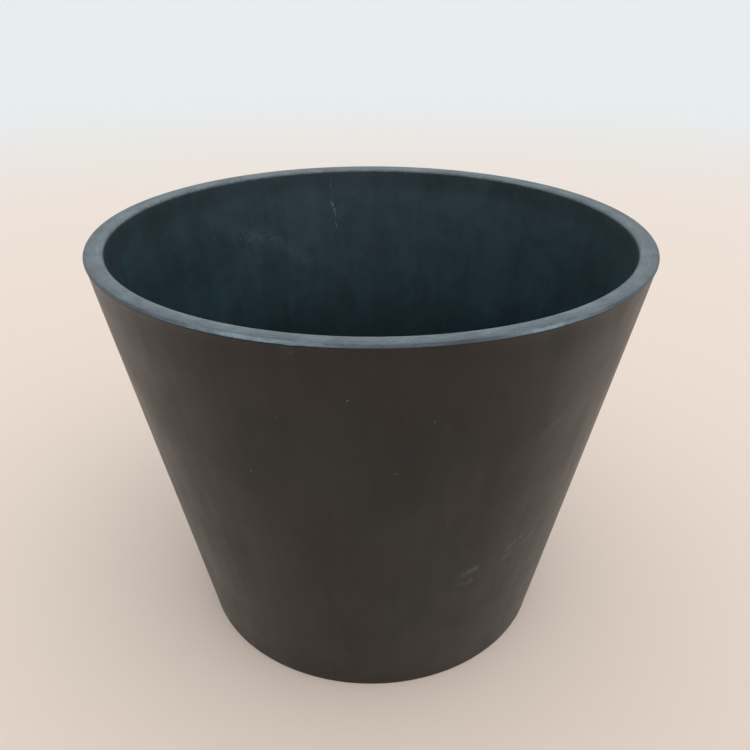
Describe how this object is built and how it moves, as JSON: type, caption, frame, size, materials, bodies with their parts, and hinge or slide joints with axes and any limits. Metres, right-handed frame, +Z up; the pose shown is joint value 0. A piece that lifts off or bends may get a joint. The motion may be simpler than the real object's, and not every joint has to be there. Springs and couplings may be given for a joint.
{
  "type": "tapered plant pot",
  "caption": "Round tapered plant pot in matt black moulded resin, with a flat rim, a lift-out reservoir plate on wicking cups and a drain plug.",
  "frame": {"origin": "middle of the foot, on the ground", "axes": "+Z up along the pot's axis; +X and +Y level, each between two of the wicking cups"},
  "size_m": [0.2994, 0.2994, 0.234],
  "materials": {
    "shell": "satin moulded resin with stone powder, faint vertical flow streaks and a sanded rim",
    "insert": "fine moulded texture",
    "plug": "matt rubber"
  },
  "bodies": {
    "pot": {"pot_shell": "shell"},
    "insert": {"reservoir_plate": "insert", "wicking_cup_1": "insert", "wicking_cup_2": "insert", "wicking_cup_3": "insert", "wicking_cup_4": "insert"},
    "plug": {"drain_plug": "plug"}
  },
  "joints": [
    {"name": "insert_lift", "type": "slide", "parent": "pot", "child": "insert", "axis": [0, 0, 1], "range_m": [0, 0.24]},
    {"name": "plug_pull", "type": "slide", "parent": "pot", "child": "plug", "axis": [0, 0, 1], "range_m": [0, 0.3]}
  ]
}
